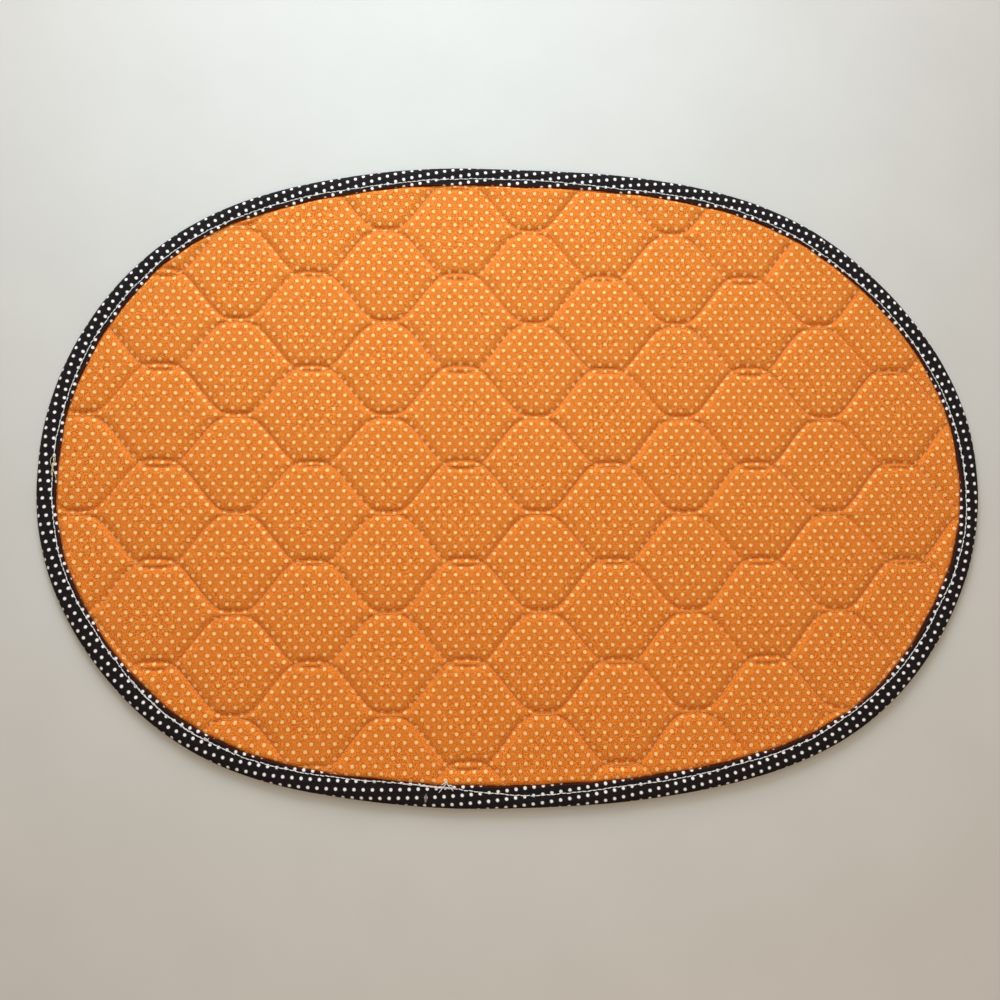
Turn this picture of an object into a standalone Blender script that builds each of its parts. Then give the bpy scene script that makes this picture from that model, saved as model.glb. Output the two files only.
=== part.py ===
"""Oval quilted placemat: a padded, stitched cotton panel with a folded tape bound over its edge.

Frame: +X along the length, +Y towards the far long side, +Z up, origin under the middle of the mat's box.
The mat lies flat on z = 0. Lengths below are in millimetres and are turned into metres as meshes are made.
"""
import math

import bpy
import numpy as np
from mathutils.geometry import delaunay_2d_cdt

METRES = 0.001

# The oval, as it was cut: half of 19 by 13 inches, fuller at its corners than an ellipse.
HALF_LENGTH = 241.6
HALF_WIDTH = 165.2
CORNER_FULLNESS = 2.3
# How unevenly the oval was cut: waves round the rim, cosine part, sine part.
UNEVEN_CUT = (
    (1, -0.94, 0.04),
    (2, -0.95, -0.66),
    (3, 0.23, -0.37),
    (4, -1.26, -0.50),
    (5, 0.30, -0.25),
    (6, 0.45, -0.07),
    (7, 0.29, 0.15),
    (8, 0.99, 0.26),
    (10, 0.51, 0.17),
)
STATIONS = 120

# The tape bound over the edge, seen from above: its mean width, and where it was caught a little wider.
BINDING_WIDTH = 10.5
BINDING_EXTRA = 0.7
WIDEST_AT = math.radians(-70)
WIDEST_TAPE = BINDING_WIDTH + BINDING_EXTRA
BINDING_THICKNESS = 1.0
FIT_GAP = 0.3

# The tape's upper layer: full on both sides of its topstitch, which pinches it near the inner edge.
TAPE_PLUMP = 1.15
TAPE_PINCH = 0.75
TOPSTITCH_INSET = 3.1
PINCH_REACH = 2.0
LIP_ROUNDING = 0.9

# Heights of the sandwich of cloth, padding and cloth.
EDGE_UNDERSIDE = BINDING_THICKNESS + FIT_GAP
EDGE_TOP = 2.9
GROOVE_TOP = 2.2
CROWN_TOP = 4.4
PANEL_INSET = 1.9
EDGE_RISE = 5.5

# Quilting: pairs of waves that cross in small lenses and nearly touch half a wave further on.
WAVE_LENGTH = 76.2
ROW_SPACING = 49.9
LENS_COLUMN_X = -30.2
LENS_ROW_Y = 5.1
COLUMN_LEAN = -0.019
LENS_HEIGHT = 3.0
LENS_CHANGE = 0.6
TOUCHING_GAP = 1.8
THIRD_WAVE = 0.065
FIFTH_WAVE = 0.015
WAVE_RISE = (ROW_SPACING + LENS_HEIGHT - TOUCHING_GAP) / 4
WAVE_SWING = WAVE_RISE / (1 - THIRD_WAVE - FIFTH_WAVE)
POINTS_PER_WAVE = 13

# Where the puffs get their points.
SHOULDER = 2.3
CROWN_PITCH = 9.0
CROWN_CLEARANCE = 4.6
SOFT_RISE = 1.7
FULL_RISE = 15.0
STEEP_SHARE = 0.62
SHARPEST_SMOOTH = math.radians(50)

ORANGE = (0.80, 0.22, 0.025, 1.0)
BLACK = (0.018, 0.016, 0.017, 1.0)


def cut_radius(angle):
    """Distance from the middle to the cut edge: a full oval and the unevenness of the cut."""
    along = np.abs(np.cos(angle) / HALF_LENGTH) ** CORNER_FULLNESS
    across = np.abs(np.sin(angle) / HALF_WIDTH) ** CORNER_FULLNESS
    radius = (along + across) ** (-1 / CORNER_FULLNESS)
    for waves, cosine, sine in UNEVEN_CUT:
        radius = radius + cosine * np.cos(waves * angle) + sine * np.sin(waves * angle)
    return radius


def outline(count):
    """Points round the outer edge at even steps of arc, with outward normals and angles."""
    fine = np.linspace(0, 2 * math.pi, 2881)
    radius = cut_radius(fine)
    path = np.stack([radius * np.cos(fine), radius * np.sin(fine)], 1)
    path -= (path.max(axis=0) + path.min(axis=0)) / 2
    travelled = np.concatenate([[0], np.cumsum(np.hypot(*np.diff(path, axis=0).T))])
    stops = np.arange(count) * travelled[-1] / count
    points = np.stack([np.interp(stops, travelled, path[:, axis]) for axis in (0, 1)], 1)
    ahead = np.roll(points, -1, axis=0) - np.roll(points, 1, axis=0)
    ahead /= np.hypot(*ahead.T)[:, None]
    normals = np.stack([ahead[:, 1], -ahead[:, 0]], 1)
    return points, normals, np.interp(stops, travelled, fine)


RIM, RIM_NORMAL, RIM_ANGLE = outline(STATIONS)


def binding_width(angle):
    """Width of the tape on the upper face at each place round the rim."""
    return BINDING_WIDTH + BINDING_EXTRA * np.cos(angle - WIDEST_AT)


def ring(inset):
    """The outline moved inwards along its normals, by one distance or by one for each station."""
    return RIM - RIM_NORMAL * np.reshape(inset, (-1, 1))


def inset_of(points):
    """How far each point lies inside the outer edge, by the nearest straight piece of the rim."""
    start = RIM
    step = np.roll(RIM, -1, axis=0) - RIM
    offset = points[:, None, :] - start[None]
    share = np.clip((offset * step).sum(2) / (step ** 2).sum(1), 0, 1)
    gap = offset - share[..., None] * step
    nearest = np.hypot(gap[..., 0], gap[..., 1]).argmin(axis=1)
    rows = np.arange(len(points))
    distance = np.hypot(gap[rows, nearest, 0], gap[rows, nearest, 1])
    side = step[nearest, 0] * offset[rows, nearest, 1] - step[nearest, 1] * offset[rows, nearest, 0]
    return np.where(side > 0, distance, -distance)


def wave_shape(turn):
    """A wave with rounded, flattened crests and nearly straight flanks."""
    return np.cos(turn) - THIRD_WAVE * np.cos(3 * turn) - FIFTH_WAVE * np.cos(5 * turn)


def quilting_line(row, side, count):
    """One stitched wave across the mat: side +1 crests at the lens columns, side -1 dips there."""
    columns = np.arange(-count, count + 1) / POINTS_PER_WAVE
    lens = LENS_HEIGHT + LENS_CHANGE * np.cos(math.pi * columns)
    rise = lens / 2 - WAVE_RISE + WAVE_SWING * wave_shape(2 * math.pi * columns)
    y = LENS_ROW_Y + ROW_SPACING * row + side * rise
    x = LENS_COLUMN_X + WAVE_LENGTH * columns + COLUMN_LEAN * (y - LENS_ROW_Y)
    return np.stack([x, y], 1)


def quilting_lines():
    """Every wave that crosses the oval, as long lines that still run past its edge."""
    rows = math.ceil(HALF_WIDTH / ROW_SPACING) + 1
    count = math.ceil(1.4 * HALF_LENGTH / WAVE_LENGTH * POINTS_PER_WAVE)
    return [quilting_line(row, side, count) for row in range(-rows, rows + 1) for side in (-1, 1)]


LINES = quilting_lines()


def line_distance(points):
    """Distance from each point to the nearest stitched line."""
    nearest = np.full(len(points), 1e9)
    for line in LINES:
        step = np.diff(line, axis=0)
        offset = points[:, None, :] - line[None, :-1]
        share = np.clip((offset * step).sum(2) / (step ** 2).sum(1), 0, 1)
        gap = offset - share[..., None] * step
        nearest = np.minimum(nearest, np.hypot(gap[..., 0], gap[..., 1]).min(axis=1))
    return nearest


def smooth(value):
    """An even step from 0 to 1 with soft ends."""
    value = np.clip(value, 0, 1)
    return value * value * (3 - 2 * value)


def top_height(points):
    """Height of the quilted face: puffs between the lines, drawn down towards the binding."""
    away = line_distance(points)
    steep = STEEP_SHARE * (1 - np.exp(-away / SOFT_RISE))
    swell = steep + (1 - STEEP_SHARE) * smooth(away / FULL_RISE)
    puffed = GROOVE_TOP + (CROWN_TOP - GROOVE_TOP) * swell
    from_tape = inset_of(points) - WIDEST_TAPE
    return EDGE_TOP + (puffed - EDGE_TOP) * smooth(from_tape / EDGE_RISE)


def thin_out(points, spacing):
    """Drops each point that lies closer than the spacing to one kept before it."""
    kept = []
    for point in points:
        if all(math.hypot(point[0] - other[0], point[1] - other[1]) >= spacing for other in kept):
            kept.append(point)
    return np.array(kept)


def shoulder_points(room):
    """Points beside the stitched lines, where the cloth has risen most of the way."""
    found = []
    for line in LINES:
        ahead = np.gradient(line, axis=0)
        across = np.stack([-ahead[:, 1], ahead[:, 0]], 1) / np.hypot(*ahead.T)[:, None]
        for side in (-SHOULDER, SHOULDER):
            found.append(line + side * across)
    found = np.concatenate(found)
    found = found[inset_of(found) > room]
    closest = 0.8 * SHOULDER
    return thin_out(found[line_distance(found) > closest], closest)


def crown_points(room):
    """A sparse staggered field of points over the puffs, clear of the lines."""
    rows = int(HALF_WIDTH / CROWN_PITCH) + 1
    columns = int(HALF_LENGTH / CROWN_PITCH) + 1
    field = [
        ((column + 0.5 * (row % 2)) * CROWN_PITCH, row * CROWN_PITCH * math.sqrt(0.75))
        for row in range(-rows, rows + 1)
        for column in range(-columns, columns + 1)
    ]
    field = np.array(field)
    field = field[inset_of(field) > room]
    return field[line_distance(field) > CROWN_CLEARANCE]


def panel_plan():
    """The quilted face seen from above: its points and triangles, with the stitched lines as edges."""
    half_risen = WIDEST_TAPE + 0.6 * EDGE_RISE
    rising = ring(half_risen)
    rising = rising[line_distance(rising) > SHOULDER]
    points = np.concatenate([ring(PANEL_INSET), ring(WIDEST_TAPE + 0.5), rising])
    edges = []
    for first in (0, STATIONS):
        edges += [(first + i, first + (i + 1) % STATIONS) for i in range(STATIONS)]
    for line in LINES:
        inside = inset_of(line) > WIDEST_TAPE + 1.5
        first = len(points)
        places = np.cumsum(inside) - 1 + first
        points = np.concatenate([points, line[inside]])
        edges += [(places[i], places[i + 1]) for i in range(len(line) - 1) if inside[i] and inside[i + 1]]
    shoulders = shoulder_points(half_risen + 2.0)
    points = np.concatenate([points, shoulders, crown_points(half_risen + 3.5)])
    flat = [(float(x), float(y)) for x, y in points]
    edges = [(int(a), int(b)) for a, b in edges]
    boundary = list(range(STATIONS))
    plan = delaunay_2d_cdt(flat, edges, [boundary], 1, 1e-5)
    return np.array([tuple(point) for point in plan[0]]), plan[2]


def make_object(name, corners, faces, material):
    """A mesh object in metres from corners in millimetres."""
    mesh = bpy.data.meshes.new(name)
    mesh.from_pydata([tuple(float(v) * METRES for v in corner) for corner in corners], [], faces)
    mesh.materials.append(material)
    mesh.validate()
    piece = bpy.data.objects.new(name, mesh)
    bpy.context.scene.collection.objects.link(piece)
    mesh.shade_smooth()
    mesh.set_sharp_from_angle(angle=SHARPEST_SMOOTH)
    return piece


def cloth_material(name, colour, roughness):
    """Matt cotton in one colour."""
    material = bpy.data.materials.new(name)
    material.use_nodes = True
    shader = material.node_tree.nodes["Principled BSDF"]
    shader.inputs["Base Color"].default_value = colour
    shader.inputs["Roughness"].default_value = roughness
    shader.inputs["Metallic"].default_value = 0.0
    return material


def quilted_panel(material):
    """The padded panel: quilted above, flat below, its edge lifted to lie inside the folded tape."""
    plan, triangles = panel_plan()
    heights = top_height(plan)
    corners = [(x, y, z) for (x, y), z in zip(plan, heights)]
    faces = [tuple(face) for face in triangles]
    rim_index = match_points(plan, ring(PANEL_INSET))
    tape_end = WIDEST_TAPE + FIT_GAP
    # Rings of the underside: distance in from the outer edge, and height.
    lower = (
        (PANEL_INSET, EDGE_UNDERSIDE),
        (tape_end, EDGE_UNDERSIDE),
        (tape_end + EDGE_RISE, 0.0),
    )
    above = rim_index
    for inset, height in lower:
        first = len(corners)
        corners += [(x, y, height) for x, y in ring(inset)]
        below = list(range(first, first + STATIONS))
        for i in range(STATIONS):
            j = (i + 1) % STATIONS
            faces.append((above[i], below[i], below[j], above[j]))
        above = below
    faces.append(tuple(reversed(above)))
    return make_object("quilted_panel", corners, faces, material)


def match_points(plan, wanted):
    """Numbers of the plan's points that lie on the wanted ones."""
    return [int(np.hypot(*(plan - point).T).argmin()) for point in wanted]


def binding_section(width):
    """The folded tape cut across: distance in from the outer edge, and height, once round."""
    top = EDGE_TOP + FIT_GAP
    wall = PANEL_INSET - FIT_GAP
    topstitch = width - TOPSTITCH_INSET
    return (
        (width, top + 0.05),
        (width, top + TAPE_PLUMP - 0.2),
        (width - LIP_ROUNDING, top + TAPE_PLUMP),
        (topstitch, top + TAPE_PINCH),
        (topstitch - PINCH_REACH, top + TAPE_PLUMP),
        (3.2, top + TAPE_PLUMP - 0.1),
        (1.2, top + 0.35),
        (0.25, top - 0.7),
        (0.0, 1.9),
        (0.35, 0.75),
        (1.4, 0.15),
        (3.0, 0.0),
        (width, 0.0),
        (width, BINDING_THICKNESS),
        (wall, BINDING_THICKNESS),
        (wall, top),
    )


def binding(material):
    """One tape folded over the whole rim, closed on itself."""
    widths = binding_width(RIM_ANGLE)
    corners = []
    for point, normal, width in zip(RIM, RIM_NORMAL, widths):
        corners += [(*(point - inset * normal), height) for inset, height in binding_section(width)]
    sides = len(binding_section(BINDING_WIDTH))
    faces = []
    for i in range(STATIONS):
        j = (i + 1) % STATIONS
        for k in range(sides):
            after = (k + 1) % sides
            faces.append((i * sides + k, i * sides + after, j * sides + after, j * sides + k))
    return make_object("binding", corners, faces, material)


def main():
    for leftover in list(bpy.data.objects):
        bpy.data.objects.remove(leftover, do_unlink=True)
    quilted_panel(cloth_material("orange_cotton", ORANGE, 0.85))
    binding(cloth_material("black_cotton", BLACK, 0.80))


main()
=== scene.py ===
# %% [markdown]
# # An oval quilted placemat
#
# The mat is a sandwich of two printed cotton cloths with padding between them, quilted through in
# pairs of waves and bound with a folded tape. Its solids are already packed: they are loaded first
# and never moved. This lesson puts the real cloth, tape and thread over them, and lights the mat.

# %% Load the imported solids
import math

import bpy
import numpy as np
from mathutils import Euler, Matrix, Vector
from mathutils.geometry import delaunay_2d_cdt
from mathutils.kdtree import KDTree


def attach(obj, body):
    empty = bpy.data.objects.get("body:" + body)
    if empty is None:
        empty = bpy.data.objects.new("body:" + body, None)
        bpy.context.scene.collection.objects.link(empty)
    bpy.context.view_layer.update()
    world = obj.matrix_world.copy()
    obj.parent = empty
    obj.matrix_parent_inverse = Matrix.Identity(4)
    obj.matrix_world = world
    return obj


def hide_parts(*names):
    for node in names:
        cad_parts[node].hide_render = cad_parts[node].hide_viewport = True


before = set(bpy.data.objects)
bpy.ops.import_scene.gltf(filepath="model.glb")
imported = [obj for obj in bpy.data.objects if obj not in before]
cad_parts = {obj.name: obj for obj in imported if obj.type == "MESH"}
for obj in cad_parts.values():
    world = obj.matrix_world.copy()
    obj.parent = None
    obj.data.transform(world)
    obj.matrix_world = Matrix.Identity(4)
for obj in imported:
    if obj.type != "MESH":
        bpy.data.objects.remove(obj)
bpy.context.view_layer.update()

METRES = 0.001

# %% [markdown]
# ## The oval
#
# A placemat is cut freehand round a paper pattern, so its rim is an oval a little fuller than an
# ellipse, with the slow waver of the scissors in it. It is one formula, the same as in the solids:
# a superellipse plus a few waves. Everything on the mat is measured in millimetres round this rim
# and in from it.

# %% The cut rim
HALF_LENGTH = 241.6
HALF_WIDTH = 165.2
CORNER_FULLNESS = 2.3
RIM_CORNERS = 5760
RIM_STEP = 0.8
NEARBY = 1.5
# Waves round the rim, cosine part, sine part.
UNEVEN_CUT = (
    (1, -0.94, 0.04), (2, -0.95, -0.66), (3, 0.23, -0.37),
    (4, -1.26, -0.50), (5, 0.30, -0.25), (6, 0.45, -0.07),
    (7, 0.29, 0.15), (8, 0.99, 0.26), (10, 0.51, 0.17),
)


def walked_along(path):
    """The distance walked along a path at each of its points."""
    return np.concatenate([[0], np.cumsum(np.hypot(*np.diff(path, axis=0).T))])


def places_on(path, walked, stops):
    """Places at distances along a path."""
    return np.stack([np.interp(stops, walked, path[:, axis]) for axis in (0, 1)], 1)


def cut_rim():
    """The rim as a fine closed path of points, with the distance travelled along it."""
    angle = np.linspace(0, 2 * math.pi, RIM_CORNERS + 1)
    along = np.abs(np.cos(angle) / HALF_LENGTH) ** CORNER_FULLNESS
    across = np.abs(np.sin(angle) / HALF_WIDTH) ** CORNER_FULLNESS
    radius = (along + across) ** (-1 / CORNER_FULLNESS)
    for waves, cosine, sine in UNEVEN_CUT:
        radius = radius + cosine * np.cos(waves * angle) + sine * np.sin(waves * angle)
    path = np.stack([radius * np.cos(angle), radius * np.sin(angle)], 1)
    path -= (path.max(axis=0) + path.min(axis=0)) / 2
    return path, walked_along(path)


RIM_PATH, RIM_TRAVEL = cut_rim()
RIM_LENGTH = float(RIM_TRAVEL[-1])


# %% Points round the rim
def rim_points(distance):
    """The rim's points and outward normals at distances in mm round it from its right end."""
    distance = np.mod(distance, RIM_LENGTH)
    before, here, after = (
        places_on(RIM_PATH, RIM_TRAVEL, np.mod(distance + further, RIM_LENGTH))
        for further in (-NEARBY, 0, NEARBY)
    )
    ahead = after - before
    ahead /= np.hypot(*ahead.T)[:, None]
    return here, np.stack([ahead[:, 1], -ahead[:, 0]], 1)


def tree_of(points):
    """A search tree over points of the plane."""
    tree = KDTree(len(points))
    for number, (x, y) in enumerate(points):
        tree.insert((x, y, 0.0), number)
    tree.balance()
    return tree


def nearest_in(tree, points):
    """The number of the tree's nearest point to each point."""
    return np.array([tree.find((x, y, 0.0))[1] for x, y in points])


RIM_STEPS = np.arange(0, RIM_LENGTH, RIM_STEP)
RIM_NEAR, RIM_OUTWARD = rim_points(RIM_STEPS)
RIM_TREE = tree_of(RIM_NEAR)


def from_rim(points):
    """How far each point lies in from the rim, and how far round it."""
    nearest = nearest_in(RIM_TREE, points)
    inset = ((RIM_NEAR[nearest] - points) * RIM_OUTWARD[nearest]).sum(1)
    return inset, RIM_STEPS[nearest]


# %% [markdown]
# ## The tape's log
#
# The binding is a strip folded over the rim and sewn down by hand-guided machine, so its width and
# its topstitch wander. A formula would look too even, so a short log takes its place. Every 60 mm
# it notes the width seen from above, how far in the topstitch runs, and how many dots and rows of
# the print have gone by: the strip is cut a little off the grain, so its rows drift across it.

# %% The log of the tape
JOIN_AT = 155.0
FIRST_DOT = -10.47
FIRST_ROW = 0.39
LOG_PACE = 60
# Width, topstitch, dots gone by and rows gone by, every 60 mm from the join.
LOG = np.array((
    (10.7, 9.3, 0.0, 0.0),
    (10.3, 7.8, 13.7, 2.4),
    (10.3, 8.2, 27.3, 5.2),
    (10.1, 6.4, 41.1, 7.8),
    (10.1, 7.7, 54.8, 10.1),
    (10.2, 7.9, 68.9, 13.1),
    (9.6, 7.9, 82.8, 15.5),
    (10.5, 8.1, 96.6, 18.2),
    (10.5, 8.3, 110.3, 20.9),
    (10.1, 8.3, 123.7, 23.3),
    (10.8, 9.2, 137.4, 25.5),
    (10.7, 8.0, 151.0, 27.7),
    (10.7, 8.8, 164.5, 29.8),
    (11.2, 10.8, 178.1, 31.5),
    (11.1, 6.5, 191.7, 33.0),
    (11.2, 8.2, 205.1, 34.6),
    (11.0, 8.7, 218.7, 36.2),
    (10.8, 9.4, 231.6, 37.3),
    (11.2, 8.6, 244.5, 38.7),
    (10.3, 7.0, 257.3, 39.8),
    (10.9, 8.8, 269.8, 40.8),
    (10.3, 8.7, 282.5, 41.8),
    (10.7, 9.3, 295.5, 43.2),
))
WIDTH, TOPSTITCH, DOTS_BY, ROWS_BY = range(4)
LOG_AT = LOG_PACE * np.arange(len(LOG))
# Small wavers of the hand along the rim: height, length, start.
WIDTH_WAVER = ((0.16, 7.3, 1.0), (0.12, 3.9, 0.0))
TOPSTITCH_WAVER = ((0.18, 11.0, 2.0), (0.08, 4.7, 0.0))
TOPSTITCH_TO_LIP = 0.7


def smooth(value):
    """An even step from 0 to 1 with soft ends."""
    value = np.clip(value, 0, 1)
    return value * value * (3 - 2 * value)


def wavering(distance, waver):
    """The sum of a few small waves at distances round the rim."""
    return sum(height * np.sin(distance / length + start) for height, length, start in waver)


def from_log(distance, column):
    """One column of the log, read softly at distances round the rim."""
    travelled = np.mod(distance - JOIN_AT, RIM_LENGTH)
    place = np.clip(travelled / LOG_PACE, 0, len(LOG) - 1)
    low = np.minimum(place.astype(int), len(LOG) - 2)
    share = smooth(place - low)
    return LOG[low, column] * (1 - share) + LOG[low + 1, column] * share


def tape_width(distance):
    """Width of the tape on the upper face, with the small waver of a hand-folded edge."""
    return from_log(distance, WIDTH) + wavering(distance, WIDTH_WAVER)


def topstitch_inset(distance):
    """How far in from the rim the topstitch runs."""
    inset = from_log(distance, TOPSTITCH) + wavering(distance, TOPSTITCH_WAVER)
    return np.minimum(inset, tape_width(distance) - TOPSTITCH_TO_LIP)


print("tape width: %.1f to %.1f mm" % (LOG[:, WIDTH].min(), LOG[:, WIDTH].max()))

# %% [markdown]
# ## The quilting waves
#
# A long-arm machine sews the two cloths together in one wave after another. Every second wave is
# turned over, so neighbours cross in thin lenses at their crests and nearly touch half a wave
# further on. One formula gives each wave, which is then paced out in half stitches, so that the
# needle holes, the dips of the cloth and the thread all agree.

# %% One wave of stitches
WAVE_LENGTH = 76.2
ROW_SPACING = 49.9
LENS_COLUMN_X = -30.1
LENS_ROW_Y = 5.15
COLUMN_LEAN = -0.019
LENS_HEIGHT = 3.4
LENS_CHANGE = 0.6
TOUCHING_GAP = 1.8
THIRD_WAVE = 0.065
FIFTH_WAVE = 0.015
WAVE_RISE = (ROW_SPACING + LENS_HEIGHT - TOUCHING_GAP) / 4
WAVE_SWING = WAVE_RISE / (1 - THIRD_WAVE - FIFTH_WAVE)
QUILT_STITCH = 2.6
LAST_ROW = math.ceil(HALF_WIDTH / ROW_SPACING) + 1
ROWS = range(-LAST_ROW, LAST_ROW + 1)
COLUMNS = np.arange(-3.6, 4.3, 0.002)


def wave(row, side):
    """A finely drawn quilting wave right across the mat: side 1 crests at the lens columns."""
    turn = 2 * math.pi * COLUMNS
    lens = LENS_HEIGHT + LENS_CHANGE * np.cos(math.pi * COLUMNS)
    shape = np.cos(turn) - THIRD_WAVE * np.cos(3 * turn) - FIFTH_WAVE * np.cos(5 * turn)
    hand = 0.22 * np.sin(2.3 * COLUMNS + 1.7 * row + side) + 0.12 * np.sin(5.1 * COLUMNS + 4.0 * row)
    y = LENS_ROW_Y + ROW_SPACING * row + side * (lens / 2 - WAVE_RISE + WAVE_SWING * shape) + hand
    x = LENS_COLUMN_X + WAVE_LENGTH * COLUMNS + COLUMN_LEAN * (y - LENS_ROW_Y)
    return np.stack([x, y], 1)


def paced(path, pace):
    """A path walked at an even pace: each stop, the way ahead there and the distance walked."""
    walked = walked_along(path)
    stops = np.arange(0, walked[-1], pace)
    points = places_on(path, walked, stops)
    ahead = np.gradient(points, axis=0)
    return points, ahead / np.hypot(*ahead.T)[:, None], stops


# %% All the waves, paced in half stitches
WAVES = [paced(wave(row, side), QUILT_STITCH / 2)[:2] for row in ROWS for side in (-1, 1)]
print("waves:", len(WAVES))

FINE_WAVES = {}
for family in (-1, 1):
    fine = [paced(wave(row, family), QUILT_STITCH / 8) for row in ROWS]
    points, ahead, walked = (np.concatenate(parts) for parts in zip(*fine))
    FINE_WAVES[family] = (points, ahead, walked, tree_of(points))


def near_wave(points, family):
    """Signed distance beyond a family's nearest wave, how far along it, and how level it is."""
    wave_points, ahead, walked, tree = FINE_WAVES[family]
    nearest = nearest_in(tree, points)
    offset = points - wave_points[nearest]
    way = ahead[nearest]
    along = (offset * way).sum(1)
    beyond = way[:, 0] * offset[:, 1] - way[:, 1] * offset[:, 0]
    return beyond, walked[nearest] + along, np.abs(way[:, 0])


# %% [markdown]
# ## How the quilted cloth rises
#
# Thread draws both cloths together, and the padding pushes them apart between the waves: a puff
# climbs steeply beside the thread and then swells slowly. The machine's foot pushes cloth ahead of
# itself, so the near side of a seam rolls over into it, and the far side lifts out of it more
# slowly, with a crease at the thread where a wave runs level. Where two waves nearly meet, the strip
# between them is slack, so only one seam looks deep. Inflated cloth could be simulated, but the
# puffs are low and even, and a height formula keeps the print and the waves where they belong. A dip
# at each needle hole, short ripples and a few soft puckers of crept cloth are added to it.

# %% Heights of the two faces
EDGE_TOP = 2.9
EDGE_UNDERSIDE = 1.35
GROOVE_TOP = 1.8
STEEP_RISE = 1.95
CREPT_REACH = 1.6
LIFTED_REACH = 2.4
CREASE = 0.62
CREASE_REACH = 0.75
# How much of the rise each family of waves draws away.
UPPER_DRAW = 0.38
UPPER_LEVEL_DRAW = 0.62
LOWER_DRAW = 0.80
SLACK = 0.62
SLACK_REACH = 2.3
HOLE_DIP = 0.40
HOLE_REACH = 0.75
RIPPLE_HEIGHT = 0.10
RIPPLE_AWAY = 1.6
RIPPLE_REACH = 1.5
SWELL_RISE = 0.32
SWELL_REACH = 17.0
SLOW_UNEVEN = 0.10
QUICK_UNEVEN = 0.03
EDGE_RISE = 1.2
EDGE_PULL = 8.0
BACK_LIFT = 0.03
BACK_GROOVE = 0.55
BACK_DIP = 0.4
WIDEST_TAPE = 12.0
BACK_RISE = 5.0
# Middle x, middle y, half length, half width, depth, turn in degrees.
PUCKERS = (
    (-160, 42, 26, 2.6, 0.30, -4),
    (-178, 20, 16, 2.2, 0.34, 3),
    (-128, 60, 34, 3.0, 0.26, 2),
    (-196, -38, 15, 2.4, 0.32, -6),
    (-163, -46, 20, 2.6, 0.28, 4),
    (-205, -62, 12, 2.2, 0.26, 8),
    (-120, -12, 24, 3.0, 0.22, -2),
    (-96, 104, 22, 2.8, 0.24, 5),
    (-60, 44, 26, 3.2, 0.16, -3),
    (64, 58, 28, 3.4, 0.16, 3),
    (118, -34, 24, 3.0, 0.18, -4),
    (182, -22, 18, 2.6, 0.24, 6),
    (150, 84, 20, 3.0, 0.18, -8),
    (24, -84, 26, 3.2, 0.16, 2),
)


def fading(away, reach, power=2):
    """1 at no distance, fading to 0 beyond the reach."""
    return np.exp(-((away / reach) ** power))


def puckers(points):
    """Soft creases where the cloth crept: how far they dip at each point."""
    dip = np.zeros(len(points))
    for x, y, length, width, depth, turn in PUCKERS:
        cosine = math.cos(math.radians(turn))
        sine = math.sin(math.radians(turn))
        off_x, off_y = (points - (x, y)).T
        along = off_x * cosine + off_y * sine
        across = (off_y * cosine - off_x * sine + 1.2 * np.sin(along / 9.0)) / width
        dip += depth * fading(along, length) * (fading(across, 1) - 0.5 * fading(across - 1.6, 1))
    return dip


def unevenness(points):
    """The slow unevenness of hand-spread padding."""
    x, y = points.T
    slow = np.sin(x / 31 + 0.6) * np.sin(y / 23 + 1.1) + 0.6 * np.sin(x / 13.7 + y / 19.0)
    quick = np.sin(x / 6.1 + 1.3 * np.sin(y / 9.0)) * np.sin(y / 4.3 + 1.1 * np.sin(x / 11.0))
    return SLOW_UNEVEN * slow + QUICK_UNEVEN * quick


def seam_ripple(away, walked, level):
    """Short ripples that run off a seam, and the dip at each needle hole."""
    ripple = np.sin(walked / 1.9 + 1.4 * np.sin(walked / 7.7)) * (0.6 + 0.4 * np.sin(walked / 13.0))
    hole = 0.5 + 0.5 * np.cos(2 * math.pi * walked / QUILT_STITCH)
    dip = HOLE_DIP * level * hole * fading(away, HOLE_REACH, 1)
    return RIPPLE_HEIGHT * ripple * fading(away - RIPPLE_AWAY, RIPPLE_REACH) - dip


def quilted(points):
    """Share of the steep rise and of the swell at each point, and the seams' ripples."""
    steep = np.ones(len(points))
    swell = np.ones(len(points))
    ripple = np.zeros(len(points))
    near = {family: near_wave(points, family) for family in (-1, 1)}
    apart = np.abs(near[1][0])
    for family, (beyond, walked, level) in near.items():
        away = np.abs(beyond)
        if family == 1:
            drawn = UPPER_DRAW + UPPER_LEVEL_DRAW * level
        else:
            drawn = LOWER_DRAW - SLACK * fading(apart, SLACK_REACH)
        crept = fading(away, CREPT_REACH * (1.0 - 0.2 * level), 1.15)
        crease = CREASE * level ** 4
        lifted = fading(away, LIFTED_REACH, 1.4)
        lifted = (1 - crease) * lifted + crease * fading(away, CREASE_REACH, 1.5)
        steep = steep * (1 - drawn * np.where(beyond < 0, crept, lifted))
        swell = swell * smooth(away / SWELL_REACH) ** 0.7
        ripple = ripple + seam_ripple(away, walked, level)
    return steep, swell, ripple


def edge_shares(points):
    """0 under the tape, 1 where the panel has come out of it, and 1 where it is free of its pull."""
    inset, around = from_rim(points)
    out = inset - tape_width(around) - 0.05
    return smooth(out / EDGE_RISE), smooth(out / EDGE_PULL)


def top_height(points):
    """Height of the quilted upper face."""
    steep, swell, ripple = quilted(points)
    out, free = edge_shares(points)
    floor = EDGE_TOP + (GROOVE_TOP - EDGE_TOP) * free
    height = floor + (STEEP_RISE * steep + SWELL_RISE * swell) * (0.75 + 0.25 * free) + ripple
    height = height + (unevenness(points) - puckers(points)) * (0.25 + 0.75 * steep * swell)
    return EDGE_TOP + (height - EDGE_TOP) * out


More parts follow.
